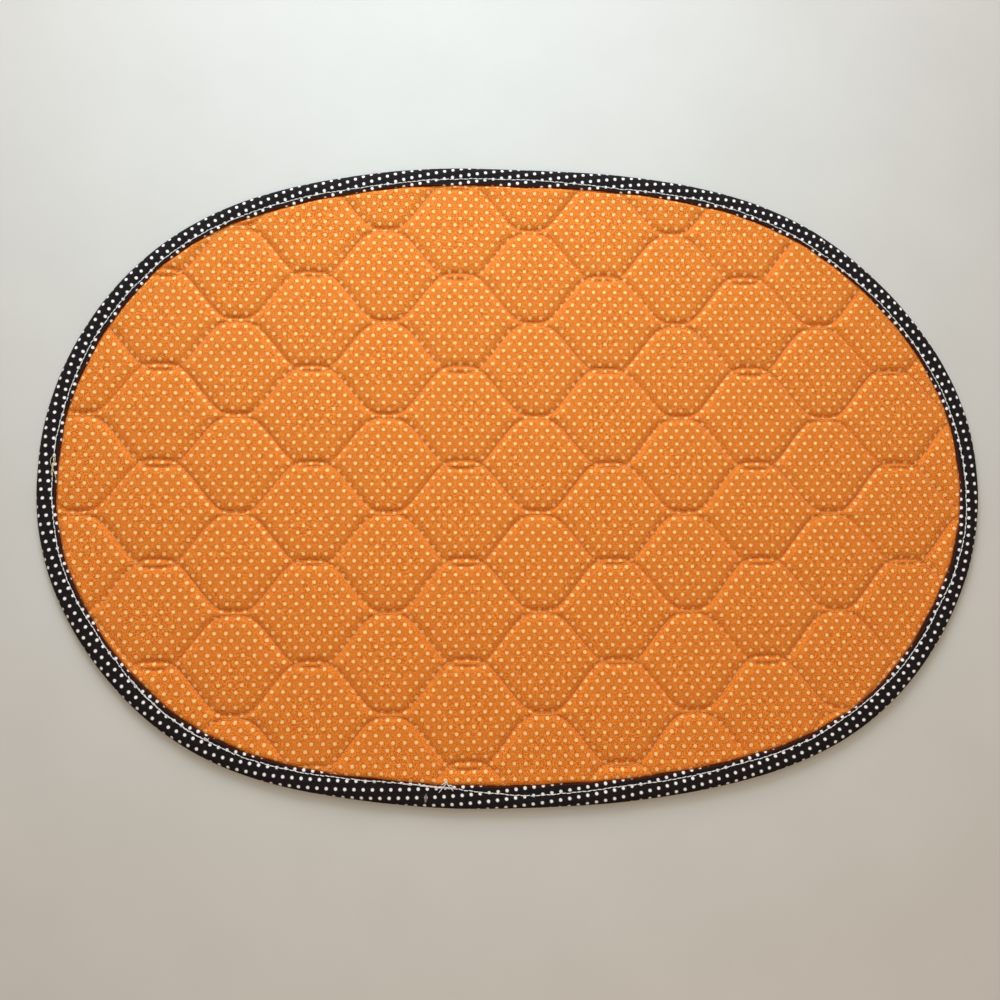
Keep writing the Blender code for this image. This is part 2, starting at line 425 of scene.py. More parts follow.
def back_height(points):
    """Height of the back: it lies flat on the table and lifts a little at each seam."""
    steep, swell, ripple = quilted(points)
    groove = BACK_GROOVE * (1 - 0.75 * steep - 0.25 * swell)
    height = BACK_LIFT + groove - BACK_DIP * np.minimum(ripple, 0)
    share = smooth((from_rim(points)[0] - WIDEST_TAPE) / BACK_RISE)
    return height * share + EDGE_UNDERSIDE * (1 - share)


# %% [markdown]
# ## A plan for the panel's mesh
#
# A grid would blur the seams, so the plan starts from them: points at every half stitch, rows beside
# them that get wider apart as the cloth gets calmer, rows along the tape's inner edge, and a
# staggered field over the puffs. A Delaunay triangulation joins them all, so the fine part of the
# mesh follows every wave. The back is seen less and gets fewer rows.

# %% Choosing the points
LIP_ROWS = (0.05, 0.65, 1.3)
LIP_STEP = 1.1
BARE_LIP = 0.3
HIDDEN_EDGE = 4.0
CALM_AWAY = 3.0
STAGGER = 0.866


def thinned(points, spacing):
    """Drops each point that lies closer than the spacing to one kept before it."""
    taken = {}
    kept = []
    for number, (x, y) in enumerate(points):
        column = int(x // spacing)
        row = int(y // spacing)
        near = [taken.get((column + i, row + j)) for i in (-1, 0, 1) for j in (-1, 0, 1)]
        if all(other is None or math.hypot(x - other[0], y - other[1]) >= spacing for other in near):
            taken[column, row] = (x, y)
            kept.append(number)
    return points[kept]


def staggered(pitch):
    """A field of points over the whole oval, every second row moved by half a step."""
    rows = int(HALF_WIDTH / pitch / STAGGER) + 1
    columns = int(HALF_LENGTH / pitch) + 1
    row, column = np.mgrid[-rows:rows + 1, -columns:columns + 1]
    x = (column + 0.5 * (row % 2)) * pitch
    return np.stack([x.ravel(), (row * pitch * STAGGER).ravel()], 1)


def beside_tape():
    """Rows of points where the panel comes out of the tape, so that it never pokes through it."""
    around = np.arange(0, RIM_LENGTH, LIP_STEP)
    points, outward = rim_points(around)
    width = tape_width(around)
    return [points - (width + out)[:, None] * outward for out in LIP_ROWS]


def panel_plan(rim, rows_beside, every, pitch, closest):
    """Points of one face and its triangles, inside the given rim points."""
    beside = []
    for distance in rows_beside:
        for points, ahead in WAVES:
            across = np.stack([-ahead[:, 1], ahead[:, 0]], 1)
            stops = slice(None, None, every if distance < CALM_AWAY else 2 * every)
            for hand in ((1, -1) if distance else (1,)):
                beside.append((points + hand * distance * across)[stops])
    field = np.concatenate(beside + [staggered(pitch)])
    inset, around = from_rim(field)
    bare = inset > tape_width(around) + BARE_LIP
    one_in_three = np.arange(len(field)) % 3 == 0
    field = field[(inset > HIDDEN_EDGE) & (bare | one_in_three)]
    field = thinned(np.concatenate(beside_tape() + [field]), closest)
    points = np.concatenate([rim, field])
    flat = [(float(x), float(y)) for x, y in points]
    plan = delaunay_2d_cdt(flat, [], [list(range(len(rim)))], 1, 1e-5)
    return np.array([tuple(point) for point in plan[0]]), [tuple(face) for face in plan[2]]


# %% Making a mesh object
def new_piece(name, corners, faces, material):
    """A smooth-shaded mesh object from corners in millimetres."""
    mesh = bpy.data.meshes.new(name)
    mesh.from_pydata((np.asarray(corners) * METRES).tolist(), [], faces)
    mesh.validate()
    mesh.materials.append(material)
    mesh.shade_smooth()
    piece = bpy.data.objects.new(name, mesh)
    bpy.context.scene.collection.objects.link(piece)
    print("%s: %d points, %d faces" % (name, len(mesh.vertices), len(mesh.polygons)))
    return piece


# %% [markdown]
# ## Writing finishes as sums
#
# A finish is a network of nodes, which is hard to read. Most of it is arithmetic on numbers that
# change over the surface, so one small class wraps the output of a node and lets Python's own signs
# build the Math nodes.

# %% The class for sums over a surface
class Field:
    """A number, colour or vector that changes over a surface: one output of a node."""

    def __init__(self, tree, socket=None):
        self.tree = tree
        self.socket = socket

    def node(self, kind, settings=(), inputs=(), output=0):
        """Adds one node: its type, its settings, then values or fields for its sockets."""
        made = self.tree.nodes.new(kind)
        for name, value in dict(settings).items():
            setattr(made, name, value)
        for name, value in dict(inputs).items():
            if isinstance(value, Field):
                self.tree.links.new(value.socket, made.inputs[name])
            else:
                made.inputs[name].default_value = value
        return Field(self.tree, made.outputs[output])

    def maths(self, operation, *values):
        """One Math node on this field and other values."""
        return self.node("ShaderNodeMath", {"operation": operation}, dict(enumerate(values)))

    def __add__(self, other):
        return self.maths("ADD", self, other)

    def __sub__(self, other):
        return self.maths("SUBTRACT", self, other)

    def __rsub__(self, other):
        return self.maths("SUBTRACT", other, self)

    def __mul__(self, other):
        return self.maths("MULTIPLY", self, other)

    def __truediv__(self, other):
        return self.maths("DIVIDE", self, other)

    def __pow__(self, other):
        return self.maths("POWER", self, other)

    def __abs__(self):
        return self.maths("ABSOLUTE", self)

    __radd__ = __add__
    __rmul__ = __mul__

    def cosine(self):
        """The cosine of an angle in radians."""
        return self.maths("COSINE", self)

    def off_whole(self):
        """How far a number lies from the nearest whole one, from -0.5 to 0.5."""
        return self - self.maths("ROUND", self)

    def largest(self, other):
        """The larger of two numbers."""
        return self.maths("MAXIMUM", self, other)

    def smallest(self, other):
        """The smaller of two numbers."""
        return self.maths("MINIMUM", self, other)

    def clipped(self):
        """The number, kept between 0 and 1."""
        return self.largest(0.0).smallest(1.0)

    def hypotenuse(self, other):
        """The length of the way across a corner, from its two sides."""
        return (self * self + other * other) ** 0.5

    def step(self, low, high):
        """0 below the low value and 1 above the high one, with a soft step between."""
        soft = {"interpolation_type": "SMOOTHSTEP"}
        return self.node("ShaderNodeMapRange", soft, {"Value": self, "From Min": low, "From Max": high})

    def between(self, low, high):
        """A colour from low, where this mask is 0, to high, where it is 1."""
        return self.node("ShaderNodeMix", {"data_type": "RGBA"}, {0: self, 6: low, 7: high}, 2)

    def times(self, scale):
        """A vector with each of its three numbers made larger or smaller."""
        return self.node("ShaderNodeVectorMath", {"operation": "MULTIPLY"}, {0: self, 1: scale})

    def parts(self):
        """The three numbers of a vector."""
        split = self.tree.nodes.new("ShaderNodeSeparateXYZ")
        self.tree.links.new(self.socket, split.inputs[0])
        return [Field(self.tree, output) for output in split.outputs]

    def noise(self, scale, detail=2.0, roughness=0.5):
        """Soft random change over this vector, scale being changes per unit."""
        choice = {"Vector": self, "Scale": scale, "Detail": detail, "Roughness": roughness}
        return self.node("ShaderNodeTexNoise", (), choice)


# %% Starting and closing a finish
WEAVE_DEPTH = 0.00005


def new_finish(name, **constants):
    """A material with its shader's constants set, and its places in millimetres."""
    material = bpy.data.materials.new(name)
    material.use_nodes = True
    shader = material.node_tree.nodes["Principled BSDF"]
    for socket, value in constants.items():
        shader.inputs[socket.replace("_", " ")].default_value = value
    places = Field(material.node_tree).node("ShaderNodeTexCoord", output="Object")
    return material, shader, places.times([1 / METRES] * 3)


def join_up(shader, colour, roughness, height, depth):
    """Links a finish's colour, its roughness and its fine relief, depth being in metres."""
    links = shader.id_data.links
    relief = height.node("ShaderNodeBump", (), {"Height": height, "Distance": depth, "Strength": 1.0})
    links.new(colour.socket, shader.inputs["Base Color"])
    links.new(roughness.socket, shader.inputs["Roughness"])
    links.new(relief.socket, shader.inputs["Normal"])


def ragged_edge(places, detail, width):
    """How far the ink of a dot has crept along the threads, in mm."""
    return places.noise(1.9, detail, 0.6) * width - width / 2


def printed_dots(away, radius, blur):
    """1 on a dot and 0 off it, from the distance in mm to its middle."""
    return 1 - away.step(radius - blur, radius + blur)


def cotton_roughness(weave, dots):
    """Cotton is matt, a little less so on the crowns of its threads and on its ink."""
    return 0.93 - weave * 0.08 - dots * 0.09


# %% [markdown]
# ## Plain weave
#
# Both cloths are light plain-weave cotton, about 28 threads to the centimetre. Each thread goes over
# one and under the next, so close up the surface is a tiny chequer of long bumps, turned by a right
# angle from one to the next. The finish makes them as a bump: as faces they would take millions. The
# same bumps darken the colour between the threads, as painted shade in the weave's hollows.

# %% The weave as a height
THREADS_PER_MM = 2.8


def plain_weave(across, along):
    """Height of a plain weave, 0 to 1, from two distances in mm."""
    wave_across = (across * (math.pi * THREADS_PER_MM)).cosine()
    wave_along = (along * (math.pi * THREADS_PER_MM)).cosine()
    over = wave_across * wave_along * 0.45
    return (abs(wave_across) ** 0.6 * (over + 0.55)).largest(abs(wave_along) ** 0.6 * (0.55 - over))


# %% [markdown]
# ## The orange cloth
#
# It is printed with cream dots in staggered rows. The quilting drew the printed cloth in, so the
# rows bow a little: a short formula gives each place on the mat its place on the flat print, where
# the dots are two square grids, one set in the middles of the other. The cream soaks into the
# threads, so the dots have ragged edges and no two have quite the same tint.

# %% Where a place on the mat was on the printed cloth
DOT_STEP = 5.622
ROW_PAIR = 7.051
DOT_RADIUS = 0.90
DOT_LEAN = 0.0048
# The part of the mat that the print was compared over, and the cloth that it took.
HALF_X = 240.0
HALF_Y = 165.0
CLOTH_X = 241.24
CLOTH_Y = 165.86
FIRST_DOT_X = 0.21
FIRST_DOT_Y = 1.76
# What the quilting drew in: the bow of columns and rows, the ends, the long sides and the corners.
COLUMN_BOW = 0.83
ROW_BOW = 1.48
END_DRAWN = 2.69
SIDE_DRAWN = 2.11
CORNER_X = 2.28
CORNER_Y = 2.42
ROW_SKEW = 1.08


def printed_place(x, y):
    """Place on the printed cloth, before quilting drew it in."""
    along = x / HALF_X
    up = y / HALF_Y
    ends = along * along
    sides = up * up
    print_x = FIRST_DOT_X + along * (CLOTH_X - ends * END_DRAWN - sides * CORNER_X) - sides * COLUMN_BOW
    print_y = FIRST_DOT_Y + up * (CLOTH_Y - sides * SIDE_DRAWN - ends * CORNER_Y)
    return print_x, print_y - ends * (ROW_BOW + along * ROW_SKEW)


def away_from_dot(print_x, print_y):
    """Distance in mm to the nearest dot of the staggered rows."""
    column = (print_x + print_y * DOT_LEAN) / DOT_STEP
    row = print_y / ROW_PAIR
    corner, middle = (
        ((column + half).off_whole() * DOT_STEP).hypotenuse((row + half).off_whole() * ROW_PAIR)
        for half in (0.0, 0.5)
    )
    return corner.smallest(middle)


# %% The orange cloth's finish
RED_DEEP = (0.57, 0.100, 0.006, 1.0)
RED_LIGHT = (0.98, 0.270, 0.042, 1.0)
GOLD_DEEP = (0.52, 0.118, 0.003, 1.0)
GOLD_LIGHT = (0.94, 0.315, 0.030, 1.0)
CREAM = (1.00, 0.60, 0.235, 1.0)
CREAM_PINK = (1.00, 0.54, 0.245, 1.0)
DOT_BLUR = 0.18
DOT_RAGGED = 0.28
TONE_START = 2.27


def orange_cotton():
    """Orange plain-weave cotton, printed with cream dots."""
    constants = {"Sheen_Weight": 0.06, "Specular_IOR_Level": 0.25}
    material, shader, places = new_finish("orange_dotted_cotton", **constants)
    print_x, print_y = printed_place(*places.parts()[:2])
    away = away_from_dot(print_x, print_y) + ragged_edge(places, 2.0, DOT_RAGGED)
    dots = printed_dots(away, DOT_RADIUS, DOT_BLUR)
    soaked = away.step(0.9, 1.2) * (1 - away.step(1.35, 1.85))
    slubs_across = places.times((0.12, 2.6, 1.0)).noise(1.0, 3.0)
    slubs_along = places.times((2.6, 0.12, 1.0)).noise(1.0, 3.0)
    slubs = slubs_across * 0.5 + slubs_along * 0.5
    mottle = places.noise(0.5, 1.0, 0.6)
    weave = plain_weave(print_x, print_y)
    grain = places.noise(2.6, 0.0)
    # The weave term darkens the ground between the threads: painted shade in the weave's hollows.
    tone = slubs * 0.5 + mottle * 0.3 + grain * 4.6 + weave * 0.18 - soaked * 0.22
    tone = (tone - TONE_START).clipped()
    dye = places.noise(1.5, 1.0, 0.6).step(0.32, 0.68)
    ground = dye.between(tone.between(RED_DEEP, RED_LIGHT), tone.between(GOLD_DEEP, GOLD_LIGHT))
    cream = places.noise(0.21, 1.0).step(0.42, 0.62).between(CREAM, CREAM_PINK)
    # The dots too are darker between the threads, as painted shade of the weave.
    colour = (dots * (0.86 + weave * 0.14)).between(ground, cream)
    join_up(shader, colour, cotton_roughness(weave, dots), weave + slubs * 0.5, WEAVE_DEPTH)
    return material


ORANGE_COTTON = orange_cotton()
print("orange cloth: dots every %.2f mm, rows every %.2f mm" % (DOT_STEP, ROW_PAIR / 2))

# %% [markdown]
# ## The quilted panel
#
# The upper cloth and the back are one closed skin, joined inside the fold of the tape, which hides
# the join. It takes the place of the plain solid.

# %% Both faces of the panel
PANEL_INSET = 1.95
PANEL_RIM_STOPS = 660
PANEL_RIM_AT = np.arange(PANEL_RIM_STOPS) * RIM_LENGTH / PANEL_RIM_STOPS


def quilted_panel():
    """The padded panel: quilted upper cloth, and the back cloth that lies on the table."""
    rim, outward = rim_points(PANEL_RIM_AT)
    rim = rim - PANEL_INSET * outward
    top_plan, top_faces = panel_plan(rim, (0, 0.4, 0.9, 1.7, 3.0, 5.0), 1, 2.9, 0.34)
    back_plan, back_faces = panel_plan(rim, (0, 0.9, 2.6), 2, 4.6, 0.8)
    top = np.column_stack([top_plan, top_height(top_plan)])
    back = np.column_stack([back_plan, back_height(back_plan)])
    first = len(top)
    faces = list(top_faces) + [tuple(first + i for i in reversed(face)) for face in back_faces]
    after = np.roll(np.arange(PANEL_RIM_STOPS), -1)
    faces += [(i, first + i, first + j, j) for i, j in enumerate(after.tolist())]
    return new_piece("quilted_cloth", np.concatenate([top, back]), faces, ORANGE_COTTON)


PANEL = quilted_panel()
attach(PANEL, "root")
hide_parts("quilted_panel")

# %% [markdown]
# ## The black tape's print
#
# The tape is the same kind of cotton in black, with white dots. They follow the strip, so its finish
# reads a map that is wound along with it: one number counts the dots gone by and the other the rows
# across, and a small sum turns both counts back into millimetres. One dot was smeared grey while its
# ink was wet. Round the rim the dots are dimmed by painted shade, where the tape turns away from the
# light. The lip of the fold, which lies against the orange cloth, is tinted brown: a painted
# reflection of the orange cloth's light.

# %% The black cloth's finish
BLACK_DEEP = (0.0062, 0.0038, 0.0046, 1.0)
BLACK_WORN = (0.0185, 0.0125, 0.0145, 1.0)
# Colours for the fold's lip: brown as a painted reflection of orange light from the cloth beside it.
LIP_REFLECTION_DEEP = (0.030, 0.0040, 0.0020, 1.0)
LIP_REFLECTION_PALE = (0.085, 0.0130, 0.0060, 1.0)
WHITE_DOT = (1.0, 0.97, 0.98, 1.0)
TAPE_DOT_RADIUS = 0.80
TAPE_DOT_BLUR = 0.20
TAPE_DOT_RAGGED = 0.30
# Millimetres round the mat and across the strip, from one dot and from one row to the next.
ONE_DOT = (4.42, 0.75)
ONE_ROW = (0.31, 4.07)
GREY_SMEAR = (0.26, 0.25, 0.25, 1.0)
SMEARED_DOT = 169.0
SMEARED_ROW = -30.1
SMEAR_HALF_WIDTH = 0.7
SMEAR_HALF_LENGTH = 2.2
# How much painted shade dims the dots on the rim's outer wall, which turns away from the light.
RIM_PAINTED_SHADE = 0.75


def off_print(off_dot, off_row):
    """The same place in millimetres, from a count of dots and of rows."""
    return [off_dot * one_dot + off_row * one_row for one_dot, one_row in zip(ONE_DOT, ONE_ROW)]


def black_cotton(name, deep, worn):
    """Dark plain-weave cotton tape, printed with white dots, which painted shade dims round the rim."""
    material, shader, places = new_finish(name, Sheen_Weight=0.02, Specular_IOR_Level=0.12)
    dots_by, rows_by = places.node("ShaderNodeUVMap", {"uv_map": "print"}).parts()[:2]
    around, across = off_print(dots_by.off_whole(), rows_by.off_whole())
    ragged = ragged_edge(places, 3.0, TAPE_DOT_RAGGED)
    dots = printed_dots(around.hypotenuse(across) + ragged, TAPE_DOT_RADIUS, TAPE_DOT_BLUR)
    around, across = off_print(dots_by - SMEARED_DOT, rows_by - SMEARED_ROW)
    smeared = (around / SMEAR_HALF_WIDTH).hypotenuse(across / SMEAR_HALF_LENGTH)
    smear = 1 - (smeared + ragged).step(0.6, 1.2)
    weave = plain_weave(dots_by * ONE_DOT[0], rows_by * ONE_ROW[1])
    # The weave term darkens the ground between the threads: painted shade in the weave's hollows.
    tone = (places.noise(0.5, 4.0, 0.65) * 1.3 - 0.25 + weave * 0.2).clipped()
    ground = (smear * 0.8).between(tone.between(deep, worn), GREY_SMEAR)
    height = places.parts()[2]
    # Painted shade: dots on the rim's outer wall, between these heights in mm, are dimmed.
    rim_shade = 1 - RIM_PAINTED_SHADE * (height.step(0.4, 1.2) * (1 - height.step(2.0, 4.2)))
    # The dots too are darker between the threads, as painted shade of the weave.
    colour = (dots * (1 - smear) * (0.88 + weave * 0.12) * rim_shade).between(ground, WHITE_DOT)
    join_up(shader, colour, cotton_roughness(weave, dots), weave, WEAVE_DEPTH)
    return material


BLACK_COTTON = black_cotton("black_dotted_cotton", BLACK_DEEP, BLACK_WORN)
# The lip's finish, tinted brown as a painted reflection of the orange cloth.
LIP_REFLECTION_COTTON = black_cotton("dotted_cotton_painted_reflection", LIP_REFLECTION_DEEP, LIP_REFLECTION_PALE)

# %% [markdown]
# ## The folded tape
#
# The strip's raw edges are turned under, and it is folded over the rim and stitched down. Cut across,
# it runs from one raw edge to the lip, over the top, round the rim, back below to the other lip, and
# under again. That path is one table, walked round the mat with the width and the topstitch from the
# log. The thread pinches it and catches it in small ripples. The strip's ends meet in a slanted
# join, so the print runs on past the join on one side and starts late on the other.

# %% The tape cut across
TAPE_CLOTH = 0.34
TAPE_TOP = 3.25
TURNED_UNDER = 7.4
TOPSTITCH_LENGTH = 2.55


def tape_section(width, stitch, lift, ripple):
    """The strip's middle line cut across at one place: distance in from the rim, and height."""
    top = TAPE_TOP + 0.55
    crown = top + 0.42 + lift
    dent = top + 0.14 + 0.4 * ripple
    return (
        (width - TURNED_UNDER, TAPE_TOP + 0.15), (width - 3.5, TAPE_TOP + 0.15),
        (width - 0.9, TAPE_TOP + 0.14), (width - 0.25, TAPE_TOP + 0.22),
        (width - 0.05, TAPE_TOP + 0.45 + 0.5 * ripple),
        (width - 0.22, top + 0.12 + ripple), (width - 0.7, top + 0.24 + 1.2 * ripple),
        (0.45 * (width - 0.7) + 0.55 * (stitch + 0.5), top + 0.27 + ripple),
        (stitch + 0.5, dent), (stitch, top + 0.02), (stitch - 0.5, dent),
        (stitch - 1.3, top + 0.34 + ripple), (stitch - 2.4, crown + 0.3 * ripple),
        (0.5 * (stitch - 2.4) + 1.6, crown + 0.02), (3.0, crown - 0.06),
        (2.1, crown - 0.28), (1.3, crown - 0.66), (0.7, crown - 1.16), (0.3, crown - 1.75), (0.17, 1.9),
        (0.3, 1.25), (0.7, 0.7), (1.3, 0.36), (2.4, 0.2), (4.5, 0.18),
        (width - 3.2, 0.18), (width - 1.2, 0.2), (width - 0.3, 0.26), (width - 0.08, 0.5),
        (width - 0.3, 0.74), (width - 1.2, 0.82), (width - 3.5, 0.84), (width - TURNED_UNDER, 0.84),
    )


# %% Walking the section round the rim
TAPE_STOPS = 840
TAPE_AT = JOIN_AT + np.arange(TAPE_STOPS) * RIM_LENGTH / TAPE_STOPS
# Places of the section: where the print is counted from, and the first and last of the lip.
TAPE_OVER = 13
LIP_FIRST = 2
LIP_LAST = 5
JOIN_SLANT = -0.8
JOIN_MIDDLE = 5.0
DOTS_PER_MM_ACROSS = -0.0174
ROWS_PER_MM_ACROSS = 0.249
# Lift of the crown along the rim: height, length, start.
CROWN_WAVER = ((0.08, 17.0, 0.0), (0.06, 6.3, 1.0), (0.04, 3.1, 0.0))
CAUGHT = 0.03
COCKLE = 0.05


def summed(steps):
    """Steps added up along each row, starting from 0."""
    return np.concatenate([np.zeros((len(steps), 1)), np.cumsum(steps, axis=1)], axis=1)


def tape_paths():
    """The strip's middle line at every stop: distances in, heights, and the width walked across."""
    width = tape_width(TAPE_AT)
    stitch = topstitch_inset(TAPE_AT)
    lift = wavering(TAPE_AT, CROWN_WAVER)
    caught = np.cos(2 * math.pi * TAPE_AT / TOPSTITCH_LENGTH)
    ripple = CAUGHT * caught + COCKLE * np.sin(TAPE_AT / 4.4 + 2.0 * np.sin(TAPE_AT / 15.0))
    sections = [tape_section(*values) for values in zip(width, stitch, lift, ripple)]
    inset, height = np.moveaxis(np.array(sections), 2, 0)
    walked = summed(np.hypot(np.diff(inset, axis=1), np.diff(height, axis=1)))
    across = inset[:, TAPE_OVER:TAPE_OVER + 1] - (walked - walked[:, TAPE_OVER:TAPE_OVER + 1])
    return inset, height, across


def print_gone_by(travelled, column):
    """Dots or rows of the print gone by, also a little before the join and beyond it."""
    inside = np.interp(travelled, LOG_AT, LOG[:, column])
    outside = np.minimum(travelled, 0) + np.maximum(travelled - LOG_AT[-1], 0)
    return inside + outside * LOG[-1, column] / LOG_AT[-1]


def tape_skin(inset, height):
    """Both faces of the strip, half its thickness to each side of its middle line."""
    ahead_in = np.gradient(inset, axis=1)
    ahead_up = np.gradient(height, axis=1)
    size = np.hypot(ahead_in, ahead_up)
    aside_in = ahead_up / size * TAPE_CLOTH / 2
    aside_up = -ahead_in / size * TAPE_CLOTH / 2
    outer = (inset + aside_in, height + aside_up)
    inner = (inset - aside_in, height - aside_up)
    return [np.concatenate([one, other[:, ::-1]], axis=1) for one, other in zip(outer, inner)]


def folded_tape():
    """The strip as one closed thin skin, with its print wound along it."""
    inset, height, across = tape_paths()
    skin_in, skin_up = tape_skin(inset, height)
    skin_across = np.concatenate([across, across[:, ::-1]], axis=1)
    points, outward = rim_points(TAPE_AT)
    stops, sides = skin_in.shape
    corners = np.empty((stops, sides, 3))
    corners[:, :, :2] = points[:, None, :] - skin_in[:, :, None] * outward[:, None, :]
    corners[:, :, 2] = skin_up
    stop, side = np.mgrid[:stops, :sides]
    next_side = (side + 1) % sides
    here = stop * sides
    beyond = (stop + 1) % stops * sides
    faces = np.stack([here + side, beyond + side, beyond + next_side, here + next_side], 2)
    faces = faces.reshape(-1, 4).tolist()
    piece = new_piece("dotted_tape", corners.reshape(-1, 3), faces, BLACK_COTTON)
    # The lip gets the finish with the painted orange reflection.
    piece.data.materials.append(LIP_REFLECTION_COTTON)
    on_lip = ((side >= LIP_FIRST) & (side <= LIP_LAST)).astype(int)
    piece.data.polygons.foreach_set("material_index", on_lip.ravel())
    far_stop = np.stack([stop, stop + 1, stop + 1, stop], 2)
    sides_of = np.stack([side, side, next_side, next_side], 2)
    travelled = far_stop * RIM_LENGTH / stops
    middle = travelled.mean(axis=2, keepdims=True)
    join = JOIN_SLANT * (skin_in[far_stop[:, :, :1] % stops, side[:, :, None]] - JOIN_MIDDLE)
    travelled = np.where(middle < join, travelled + RIM_LENGTH, travelled)
    travelled = np.where(middle - RIM_LENGTH > join, travelled - RIM_LENGTH, travelled)
    strip = skin_across[far_stop % stops, sides_of]
    dots = FIRST_DOT + print_gone_by(travelled, DOTS_BY) + DOTS_PER_MM_ACROSS * strip
    rows = FIRST_ROW - print_gone_by(travelled, ROWS_BY) + ROWS_PER_MM_ACROSS * strip
    wound = piece.data.uv_layers.new(name="print")
    wound.data.foreach_set("uv", np.stack([dots, rows], 3).reshape(-1))
    return piece


TAPE = folded_tape()
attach(TAPE, "root")
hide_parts("binding")

# %% [markdown]
# ## Thread
#
# Sewing thread is two or three plies twisted together. Each stitch lies on the cloth between two
# needle holes and dives into them. Thousands are needed, so one function bends a thin tube along
# each row of points, joins them all into one mesh and maps the way along the thread for its twist.

# %% The thread's finish and the tubes
PLIES = 2
TWIST = 9.0
NEXT_TWIST = 1.7
PLY_DEPTH = 0.00006


def thread_finish(name, furrow_shade, light, roughness):
    """Twisted cotton thread: pale ridges of the plies winding round a furrow darkened by painted shade.
    """
    material, shader, places = new_finish(name, Sheen_Weight=0.15, Sheen_Roughness=0.4)
    along, turn = places.node("ShaderNodeUVMap", {"uv_map": "thread"}).parts()[:2]
    ply = ((along * TWIST + turn * (2 * math.pi * PLIES)).cosine() * 0.5 + 0.5) ** 0.7
    # The furrow between the plies is darker: painted shade, mixed with random tone along the thread.
    tone = (ply * 0.7 + places.noise(2.2, 3.0) * 0.6 - 0.12).clipped()
    join_up(shader, tone.between(furrow_shade, light), roughness + 0.06 - ply * 0.12, ply, PLY_DEPTH)
    return material


def tubes(name, paths, radii, sides, material):
    """One mesh of many thin tubes: paths in mm, and a radius for each point of a path."""
    paths = np.asarray(paths, dtype=float)
    count, length = paths.shape[:2]
    ahead = np.gradient(paths, axis=1)
    ahead /= np.linalg.norm(ahead, axis=2, keepdims=True) + 1e-9
    aside = np.cross(ahead, (0.0, 0.0, 1.0))
    aside /= np.linalg.norm(aside, axis=2, keepdims=True) + 1e-9
    upward = np.cross(aside, ahead)
    turn = np.arange(sides) * 2 * math.pi / sides
    ring = aside[:, :, None] * np.cos(turn)[:, None] + upward[:, :, None] * np.sin(turn)[:, None]
    corners = paths[:, :, None] + ring * np.reshape(radii, (1, -1, 1, 1))
    tube, point, side = np.mgrid[:count, :length - 1, :sides]
    base = (tube * length + point) * sides
    beyond = base + sides
    after = (side + 1) % sides
    faces = np.stack([base + side, base + after, beyond + after, beyond + side], 3).reshape(-1, 4)
    first = (np.arange(count) * length * sides)[:, None] + np.arange(sides)
    ends = first[:, ::-1].tolist() + (first + (length - 1) * sides).tolist()
    piece = new_piece(name, corners.reshape(-1, 3), faces.tolist() + ends, material)
    walked = summed(np.linalg.norm(np.diff(paths, axis=1), axis=2))
    walked += NEXT_TWIST * np.arange(count)[:, None]
    near = walked[:, :-1, None]
    far = walked[:, 1:, None]
    along = np.stack([near, near, far, far], 3) + np.zeros((sides, 1))
    turned = np.stack([side, side + 1, side + 1, side], 3) / sides
    values = np.stack([along, turned], 4).reshape(-1, 2)
    values = np.concatenate([values, np.zeros((2 * count * sides, 2))])
    wound = piece.data.uv_layers.new(name="thread")
    wound.data.foreach_set("uv", values.reshape(-1))
    return piece


# The first colour of each thread is its furrow's painted shade.
WHITE_THREAD = thread_finish("white_thread", (0.60, 0.57, 0.58, 1.0), (1.0, 0.97, 0.98, 1.0), 0.55)
ORANGE_THREAD = thread_finish("orange_thread", (0.80, 0.24, 0.03, 1.0), (1.0, 0.48, 0.13, 1.0), 0.7)

# %% [markdown]
# ## The topstitch
#
# White thread holds the tape down, a stitch every two and a half millimetres, about two millimetres
# from the tape's inner edge, and shows on the back as well. Each stitch is a short bent tube that
# dips into the cloth at both ends. The needle never lands quite evenly, so each is turned a little.
# In a few places the seam was sewn twice, so a short table adds a second row there.

# %% The white stitches
TOPSTITCH_COUNT = int(RIM_LENGTH / TOPSTITCH_LENGTH)
STITCH_BEND = np.array([-0.30, 0.02, 0.15, 0.18, 0.15, 0.02, -0.30])
THREAD_RADII = 0.235 * np.array([0.8, 0.95, 1.0, 1.0, 1.0, 0.95, 0.8])
STITCH_TOP = TAPE_TOP + 0.74
STITCH_UNDER = 0.24
STITCH_LIFT = 0.10
UNEVEN_TURN = 0.13
UNEVEN_ROW = 0.09
# From, to, how far beside the first row.
SEWN_TWICE = ((776, 797, 0.30), (797, 826, 0.16), (929, 954, 0.22), (938, 953, -0.20))
SECOND_PACE = 0.83
RANDOM = np.random.default_rng(5)


def topstitches(name, surface, upward):
    """A ring of stitches on the tape, above it or below it, with the places sewn twice."""
    pace = RIM_LENGTH / TOPSTITCH_COUNT
    starts = np.arange(TOPSTITCH_COUNT) * pace
    beside = np.zeros(TOPSTITCH_COUNT)
    for first, last, aside in SEWN_TWICE:
        again = np.arange(first, last, SECOND_PACE * pace)
        starts = np.concatenate([starts, again])
        beside = np.concatenate([beside, np.full(len(again), aside)])
    count = len(starts)
    share = np.linspace(0.02, 0.98, len(STITCH_BEND))
    at = starts[:, None] + share * pace
    slant = RANDOM.normal(0, UNEVEN_TURN, count)[:, None] * (2 * share - 1)
    drift = (RANDOM.normal(0, UNEVEN_ROW, count) + beside)[:, None] + slant
    points, outward = rim_points(at.ravel())
    inset = topstitch_inset(at.ravel()) + drift.ravel()
    flat = points - inset[:, None] * outward
    height = surface + upward * (STITCH_BEND + STITCH_LIFT + np.abs(beside)[:, None])
    paths = np.column_stack([flat, height.ravel()]).reshape(count, len(share), 3)
    return tubes(name, paths, THREAD_RADII, 7, WHITE_THREAD)


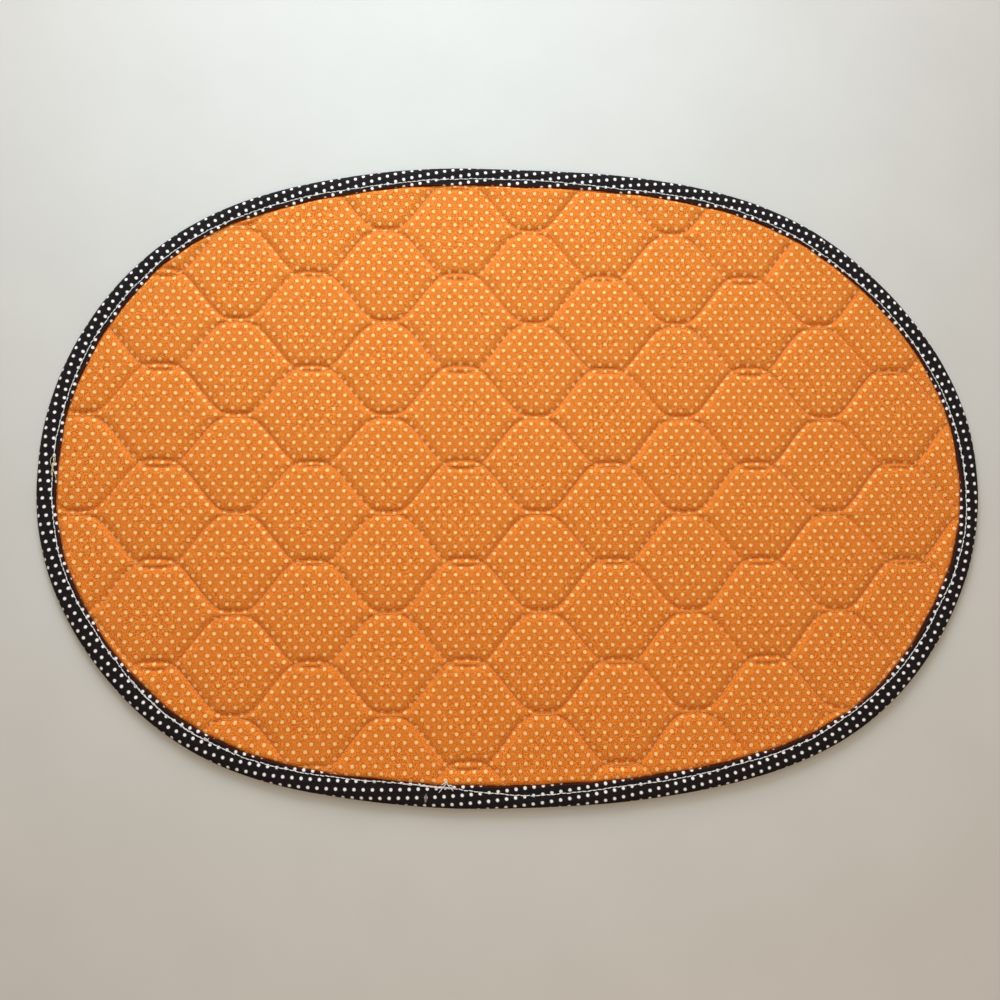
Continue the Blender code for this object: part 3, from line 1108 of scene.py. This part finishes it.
UPPER_STITCHES = topstitches("topstitch", STITCH_TOP, 1.0)
LOWER_STITCHES = topstitches("topstitch_under", STITCH_UNDER, -0.2)
for stitches in (UPPER_STITCHES, LOWER_STITCHES):
    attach(stitches, "root")
print("topstitch: %d stitches of %.2f mm" % (TOPSTITCH_COUNT, RIM_LENGTH / TOPSTITCH_COUNT))

# %% [markdown]
# ## The quilting thread
#
# It is orange, and is pulled so deep into the cloth that little shows but the notch of each needle
# hole. The stitches follow the same paces as the dips in the cloth.

# %% The orange stitches
QUILT_BEND = np.array([-0.05, 0.12, 0.16, 0.12, -0.05])
QUILT_RADII = 0.19 * np.array([0.8, 1.0, 1.0, 1.0, 0.8])
UNDER_TAPE = 1.2


def quilting_stitches(name, height_of, upward):
    """Stitches along every wave, on one face of the panel."""
    paths = []
    share = np.linspace(0.06, 0.94, len(QUILT_BEND))
    for points, ahead in WAVES:
        inset, around = from_rim(points)
        inside = inset > tape_width(around) - UNDER_TAPE
        for hole in range(0, len(points) - 2, 2):
            if inside[hole] and inside[hole + 2]:
                step = points[hole + 2] - points[hole]
                paths.append(points[hole] + share[:, None] * step)
    paths = np.array(paths)
    height = height_of(paths.reshape(-1, 2)).reshape(paths.shape[:2])
    paths = np.dstack([paths, height[:, 2:3] + upward * QUILT_BEND])
    return tubes(name, paths, QUILT_RADII, 5, ORANGE_THREAD)


UPPER_QUILTING = quilting_stitches("quilting_thread", top_height, 1.0)
LOWER_QUILTING = quilting_stitches("quilting_thread_under", back_height, -0.3)
for stitches in (UPPER_QUILTING, LOWER_QUILTING):
    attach(stitches, "root")

# %% [markdown]
# ## Loose ends
#
# Where the machine was started and stopped, a few thread ends were never trimmed: a small white tuft
# on the near side, a tiny knot on the left, and a pale yellow thread caught under the topstitch.
# Each is noted with a few places round the tape, and a smooth curve is drawn through them.

# %% The threads that were not trimmed
# Places along one thread: round the rim, in from it, height.
WHITE_ENDS = (
    ((947.6, 7.9, 4.9), (949.2, 10.1, 5.2), (950.8, 12.3, 4.9), (951.2, 13.3, 4.7)),
    ((948.6, 11.4, 4.6), (950.3, 12.6, 5.0), (951.2, 12.9, 5.0), (951.8, 11.8, 4.7)),
    ((951.4, 12.2, 4.7), (952.6, 11.0, 5.0), (953.6, 10.0, 4.9), (954.6, 8.9, 4.8)),
    ((952.2, 11.3, 4.8), (953.6, 11.4, 4.9), (954.8, 10.6, 4.9), (955.9, 10.9, 4.6)),
    ((826.6, 8.4, 4.6), (827.6, 9.4, 4.9), (828.4, 9.1, 4.9), (829.2, 10.0, 4.8)),
    ((826.9, 9.2, 4.6), (828.0, 8.6, 4.9), (828.9, 9.0, 4.9), (829.6, 8.4, 4.6)),
)
YELLOW_ENDS = (
    ((649.9, 9.0, 4.6), (652.2, 7.5, 5.0), (654.6, 7.4, 5.0), (658.6, 9.6, 5.0), (662.4, 10.5, 4.7)),
    ((650.4, 8.9, 4.6), (652.8, 9.4, 5.0), (655.4, 8.9, 5.0), (658.0, 8.0, 5.0), (660.6, 8.4, 4.7)),
)
LOOSE_POINTS = 15


def loose_ends(name, ends, radius, material):
    """Thin threads over the tape, each a smooth curve through its noted places."""
    share = np.linspace(0, 1, LOOSE_POINTS)
    paths = []
    for places in ends:
        noted = np.array(places)
        cubics = np.polyfit(np.linspace(0, 1, len(noted)), noted, 3)
        around, inset, height = (np.polyval(cubic, share) for cubic in cubics.T)
        points, outward = rim_points(around)
        paths.append(np.column_stack([points - inset[:, None] * outward, height]))
    return tubes(name, paths, np.full(LOOSE_POINTS, radius), 6, material)


YELLOW_THREAD = thread_finish("yellow_thread", (0.60, 0.47, 0.20, 1.0), (0.92, 0.78, 0.42, 1.0), 0.6)
LOOSE_WHITE = loose_ends("loose_white_ends", WHITE_ENDS, 0.21, WHITE_THREAD)
LOOSE_YELLOW = loose_ends("loose_yellow_thread", YELLOW_ENDS, 0.14, YELLOW_THREAD)
for ends in (LOOSE_WHITE, LOOSE_YELLOW):
    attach(ends, "root")

# %% [markdown]
# ## The cut sizes
#
# The panel is an oval cut from a rectangle, and the tape is a strip whose width is the whole walk
# across its folds. The strip's width and length are worked out and printed here.

# %% The strip's cut width
STRIP_WIDTH = float(np.ptp(tape_paths()[2], axis=1).mean())
print("strip cut %.1f mm wide, %.0f mm long" % (STRIP_WIDTH, RIM_LENGTH))

# %% [markdown]
# ## Floor, world and light
#
# The mat lies on a plain pale floor. One soft lamp beyond the far long side, fairly low, skims over
# the puffs: each seam is dark on its far side and bright on its near side. A weak cool lamp makes
# the far part a little paler, and a weak warm one on the near side and a pale world keep the
# shadows soft.

# %% The floor
FLOOR_REACH = 3000
FLOOR_HEIGHT = -0.11
WORLD_COLOUR = (1.0, 0.89, 0.70, 1.0)
WORLD_STRENGTH = 0.29


def pale_floor():
    """A wide floor with a barely visible grain."""
    material, shader, places = new_finish("pale_floor")
    tone = places.noise(0.02, 3.0)
    colour = tone.between((0.60, 0.57, 0.55, 1.0), (0.66, 0.63, 0.61, 1.0))
    join_up(shader, colour, tone * 0.1 + 0.85, tone, 0.0001)
    sides = ((-1, -1), (1, -1), (1, 1), (-1, 1))
    corners = [(x * FLOOR_REACH, y * FLOOR_REACH, FLOOR_HEIGHT) for x, y in sides]
    return new_piece("floor", corners, [(0, 1, 2, 3)], material)


pale_floor()

world = bpy.data.worlds.new("pale_room")
world.use_nodes = True
world.node_tree.nodes["Background"].inputs["Color"].default_value = WORLD_COLOUR
world.node_tree.nodes["Background"].inputs["Strength"].default_value = WORLD_STRENGTH
bpy.context.scene.world = world


# %% The lamps
def soft_lamp(name, place, size, watts, colour):
    """A square lamp that looks at the middle of the mat."""
    lamp = bpy.data.lights.new(name, "AREA")
    lamp.size = size
    lamp.energy = watts
    lamp.color = colour
    piece = bpy.data.objects.new(name, lamp)
    piece.location = place
    piece.rotation_euler = Vector(place).to_track_quat("Z", "Y").to_euler()
    piece.visible_camera = False
    bpy.context.scene.collection.objects.link(piece)


soft_lamp("window_side", (-0.15, 1.02, 0.50), 0.5, 10.2, (0.98, 0.95, 1.0))
soft_lamp("window_glow", (-0.05, 0.28, 0.34), 0.35, 1.05, (0.60, 0.92, 1.0))
soft_lamp("room_side", (0.10, -0.50, 0.85), 0.5, 2.35, (1.0, 0.79, 0.58))

# %% [markdown]
# ## The camera
#
# The picture was taken by hand from about 40 cm above the mat, a little off its middle and a little
# tilted, so its far side looks slightly smaller. The plain display curve keeps the orange strong.

# %% The camera's place
CAMERA_AT = (-0.03168, -0.05874, 0.40744)
CAMERA_TURN = (6.438, -2.904, -0.274)
lens = bpy.data.cameras.new("camera")
lens.sensor_width = 36.0
lens.lens = 28.8
lens.clip_start = 0.01
lens.clip_end = 20.0
camera = bpy.data.objects.new("camera", lens)
camera.location = CAMERA_AT
camera.rotation_euler = Euler([math.radians(turn) for turn in CAMERA_TURN])
bpy.context.scene.collection.objects.link(camera)
bpy.context.scene.camera = camera
bpy.context.scene.view_settings.view_transform = "Standard"
print("camera at", CAMERA_AT, "lens", lens.lens)
